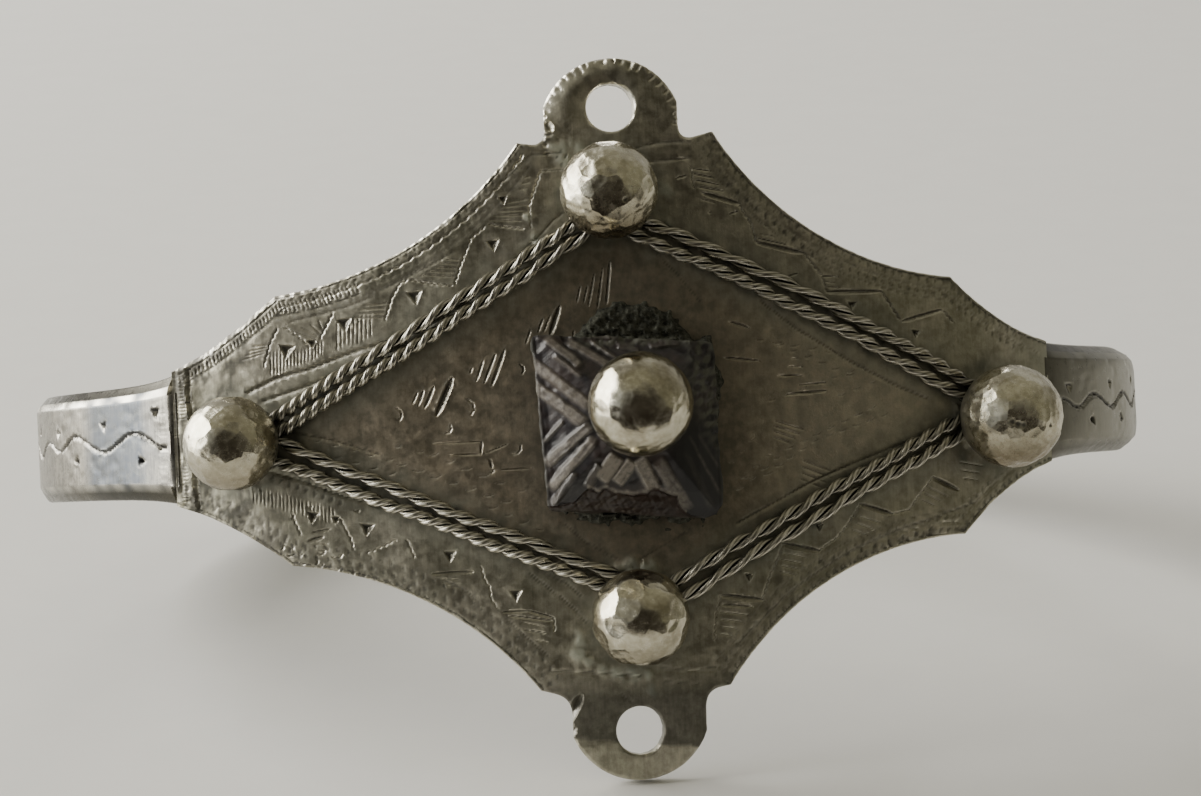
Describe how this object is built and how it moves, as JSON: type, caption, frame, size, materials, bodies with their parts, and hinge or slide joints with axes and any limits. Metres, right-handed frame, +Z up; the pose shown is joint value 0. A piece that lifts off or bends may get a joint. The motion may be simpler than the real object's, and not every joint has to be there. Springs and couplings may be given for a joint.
{
  "type": "silver bracelet",
  "caption": "Rigid silver bangle with a rhombic engraved front plate, pierced ears, silver beads, twisted wire and a pyramid glass stone.",
  "frame": {"origin": "on the surface that the bracelet rests on, under the middle of its bounding box", "axes": "+Z up, +X across the hoop from side to side, -Y towards the engraved plate; the hoop leans back 18.2 degrees on its lower ear and the back of its band"},
  "size_m": [0.0656, 0.0574, 0.0372],
  "materials": {
    "aged_silver": "tarnished, hand-engraved silver",
    "wire_silver": "drawn and twisted silver wire",
    "bead_silver": "hammered and worn silver",
    "violet_glass": "dark violet glass, hand-cut steps",
    "setting_cement": "black setting cement, crumbly"
  },
  "bodies": {
    "root": {"cuff": "aged_silver", "rope_upper_left_outer": "wire_silver", "rope_upper_left_inner": "wire_silver", "rope_upper_right_outer": "wire_silver", "rope_upper_right_inner": "wire_silver", "rope_lower_left_outer": "wire_silver", "rope_lower_left_inner": "wire_silver", "rope_lower_right_outer": "wire_silver", "rope_lower_right_inner": "wire_silver", "cement_bed": "setting_cement", "stone": "violet_glass", "stone_ball": "bead_silver"}
  },
  "joints": []
}
